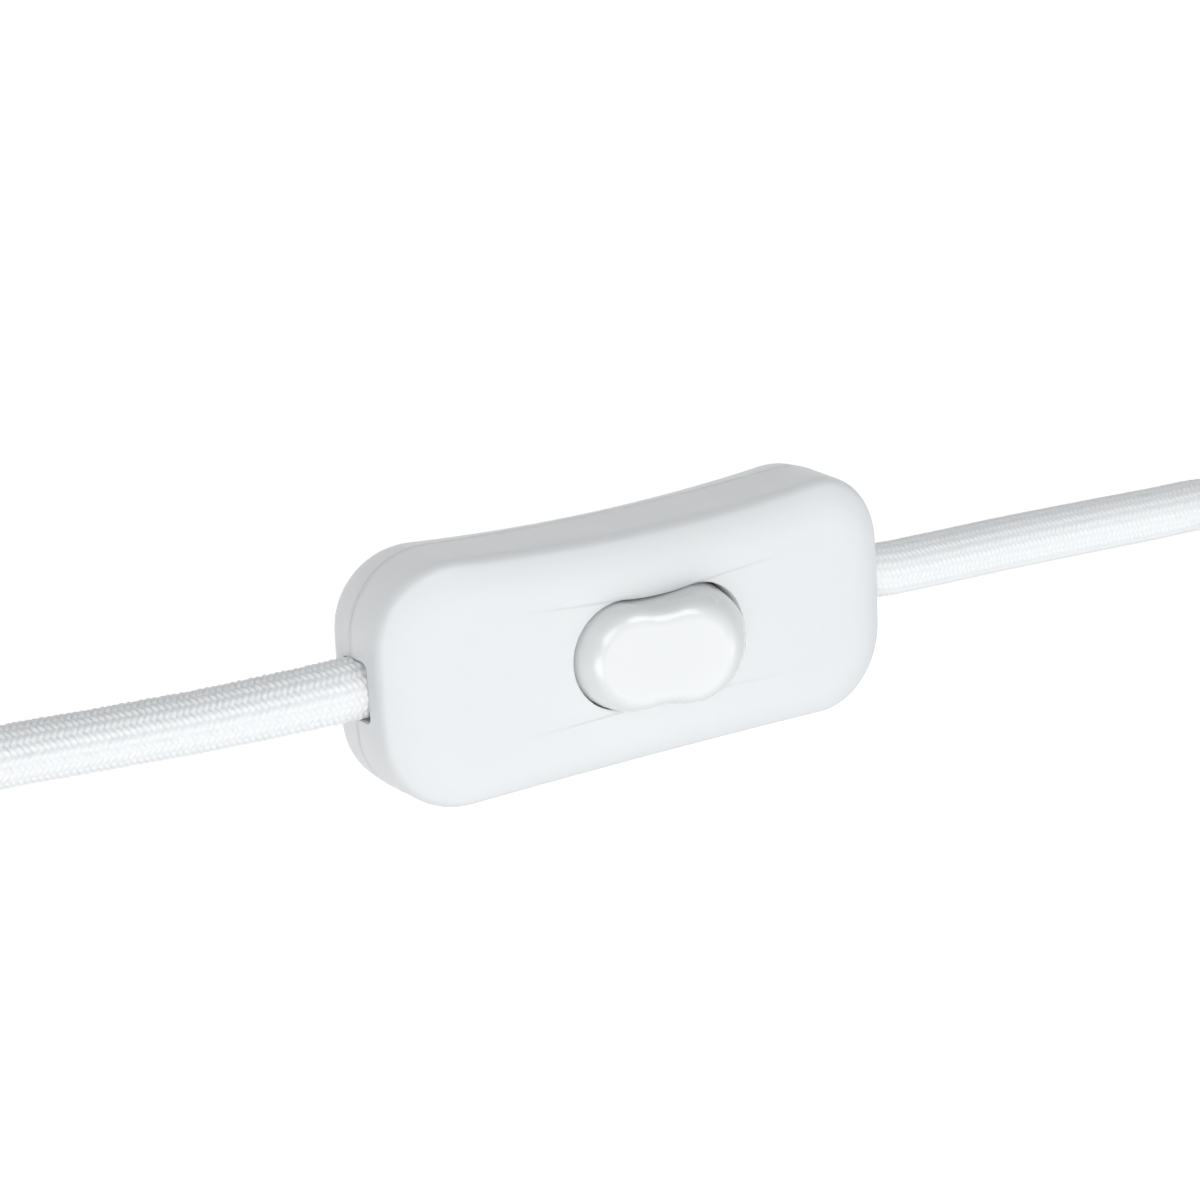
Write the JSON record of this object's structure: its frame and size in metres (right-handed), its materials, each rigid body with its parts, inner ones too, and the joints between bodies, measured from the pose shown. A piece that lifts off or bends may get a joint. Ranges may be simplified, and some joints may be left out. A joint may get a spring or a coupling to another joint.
{
  "type": "in-line cord rocker switch",
  "caption": "White waisted in-line rocker switch on a braided textile lamp cord, opened by cover screws, with a flat two-pin plug and bare lamp-side cores.",
  "frame": {"origin": "centre of the flat back face of the switch body", "axes": "+X along the body towards the lamp end of the cord, +Z out through the rocker, +Y across"},
  "size_m": [0.4527, 0.0488, 0.0347],
  "materials": {
    "white_shell": "satin moulded",
    "white_rocker": "glossy moulded",
    "inner_plastic": "moulded",
    "spring_steel": "drawn wire",
    "brass": "stamped",
    "contact_silver": "silver alloy",
    "zinc_steel": "zinc plated",
    "copper": "bare stranded",
    "brown_insulation": "extruded",
    "blue_insulation": "extruded",
    "white_braid": "fine braided textile",
    "tie_plastic": "flat strap",
    "plug_plastic": "fine spark-eroded",
    "pin_nickel": "nickel plated",
    "sleeve_plastic": "moulded",
    "collar_sleeve": "heat shrunk"
  },
  "bodies": {
    "housing": {"front_cover": "white_shell", "back_cover": "white_shell", "fixed_contact_tip": "contact_silver", "line_terminal_in": "brass", "line_terminal_out": "brass", "neutral_terminal": "brass", "terminal_screws": "zinc_steel", "cord_clamp_left": "inner_plastic", "cord_clamp_right": "inner_plastic", "clamp_screws": "zinc_steel", "cover_screws": "zinc_steel", "brown_core_left": "brown_insulation", "blue_core_left": "blue_insulation", "brown_core_right": "brown_insulation", "blue_core_right": "blue_insulation", "core_conductors": "copper", "cord_left": "white_braid", "cord_left_hank": "white_braid", "cord_left_to_plug": "white_braid", "hank_tie_left": "tie_plastic", "plug_body": "plug_plastic", "plug_strain_relief": "plug_plastic", "plug_pins": "pin_nickel", "plug_pin_sleeves": "sleeve_plastic", "cord_right": "white_braid", "cord_right_hank": "white_braid", "hank_tie_right": "tie_plastic", "cord_end_collar": "collar_sleeve", "brown_tail": "brown_insulation", "blue_tail": "blue_insulation", "wire_ferrules": "pin_nickel"},
    "rocker": {"rocker": "white_rocker", "rocker_spring": "spring_steel", "plunger": "brass"},
    "seesaw": {"seesaw_contact": "brass", "moving_contact_tip": "contact_silver"}
  },
  "joints": [
    {"name": "rocker_hinge", "type": "hinge", "parent": "housing", "child": "rocker", "pos_m": [0, 0, 0.0133], "axis": [0, 1, 0], "range_deg": [0, 32]},
    {"name": "seesaw_hinge", "type": "hinge", "parent": "housing", "child": "seesaw", "pos_m": [0, 0, 0.0037], "axis": [0, 1, 0], "range_deg": [-12, 0]}
  ],
  "couplings": [
    {"joint": "seesaw_hinge", "follows": "rocker_hinge", "ratio": -0.375}
  ]
}
